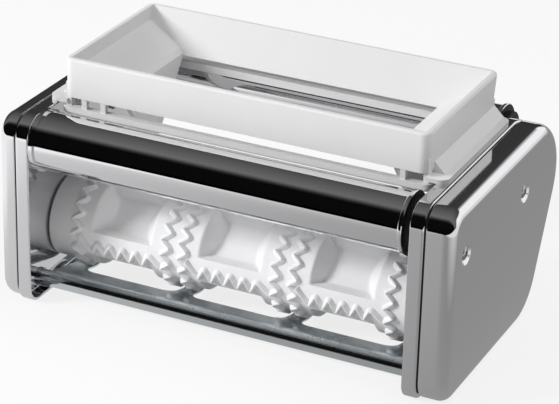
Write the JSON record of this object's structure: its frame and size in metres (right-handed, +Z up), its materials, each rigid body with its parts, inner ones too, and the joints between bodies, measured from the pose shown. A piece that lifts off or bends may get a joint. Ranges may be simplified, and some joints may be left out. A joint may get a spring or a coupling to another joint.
{
  "type": "ravioli roller attachment",
  "caption": "Ravioli maker for hand cranked dough rollers: two geared mould rollers under a lift-off filling hopper, between steel side housings with guide bars.",
  "frame": {"origin": "centre of the bounding box in plan, on the table plane under the side housings", "axes": "+Z up, +X along the rollers towards the geared housing, +Y towards the rear guide bar"},
  "size_m": [0.2048, 0.125, 0.1055],
  "materials": {
    "polished_steel": "polished pressed sheet and tube, soft reflections",
    "satin_steel": "satin sheet, rod and fasteners",
    "hopper_plastic": "satin white moulding",
    "roller_plastic": "matte white moulding",
    "gear_plastic": "natural nylon",
    "bush_plastic": "dark plain bearing plastic"
  },
  "bodies": {
    "frame": {"left_side_plate": "polished_steel", "right_side_plate": "polished_steel", "left_cover": "polished_steel", "right_cover": "polished_steel", "front_guide_bar": "polished_steel", "rear_guide_bar": "polished_steel", "front_bar_left_cap": "polished_steel", "front_bar_right_cap": "polished_steel", "rear_bar_left_cap": "polished_steel", "rear_bar_right_cap": "polished_steel", "front_tie_rod": "satin_steel", "rear_tie_rod": "satin_steel", "tie_rod_washers": "satin_steel", "left_plate_screws": "satin_steel", "right_plate_screws": "satin_steel", "left_cover_posts": "satin_steel", "right_cover_posts": "satin_steel", "left_cover_screws": "satin_steel", "right_cover_screws": "satin_steel", "left_post_screws": "satin_steel", "right_post_screws": "satin_steel", "left_shaft_bushes": "bush_plastic", "right_shaft_bushes": "bush_plastic", "front_comb": "satin_steel", "rear_comb": "satin_steel"},
    "front_roller": {"front_mould_roller": "roller_plastic", "front_roller_shaft": "satin_steel", "front_gear": "gear_plastic", "front_gear_clip": "satin_steel", "drive_socket_collar": "satin_steel"},
    "rear_roller": {"rear_mould_roller": "roller_plastic", "rear_roller_shaft": "satin_steel", "rear_gear": "gear_plastic", "rear_gear_clip": "satin_steel", "rear_shaft_clip": "satin_steel"},
    "hopper": {"hopper": "hopper_plastic"}
  },
  "joints": [
    {"name": "front_roller_spin", "type": "hinge", "parent": "frame", "child": "front_roller", "pos_m": [0, -0.0208, 0.0259], "axis": [1, 0, 0], "continuous": true},
    {"name": "rear_roller_spin", "type": "hinge", "parent": "frame", "child": "rear_roller", "pos_m": [0, 0.0208, 0.0259], "axis": [1, 0, 0], "continuous": true},
    {"name": "hopper_lift", "type": "slide", "parent": "frame", "child": "hopper", "axis": [0, 0, 1], "range_m": [0, 0.06]}
  ],
  "couplings": [
    {"joint": "rear_roller_spin", "follows": "front_roller_spin", "ratio": -1}
  ]
}
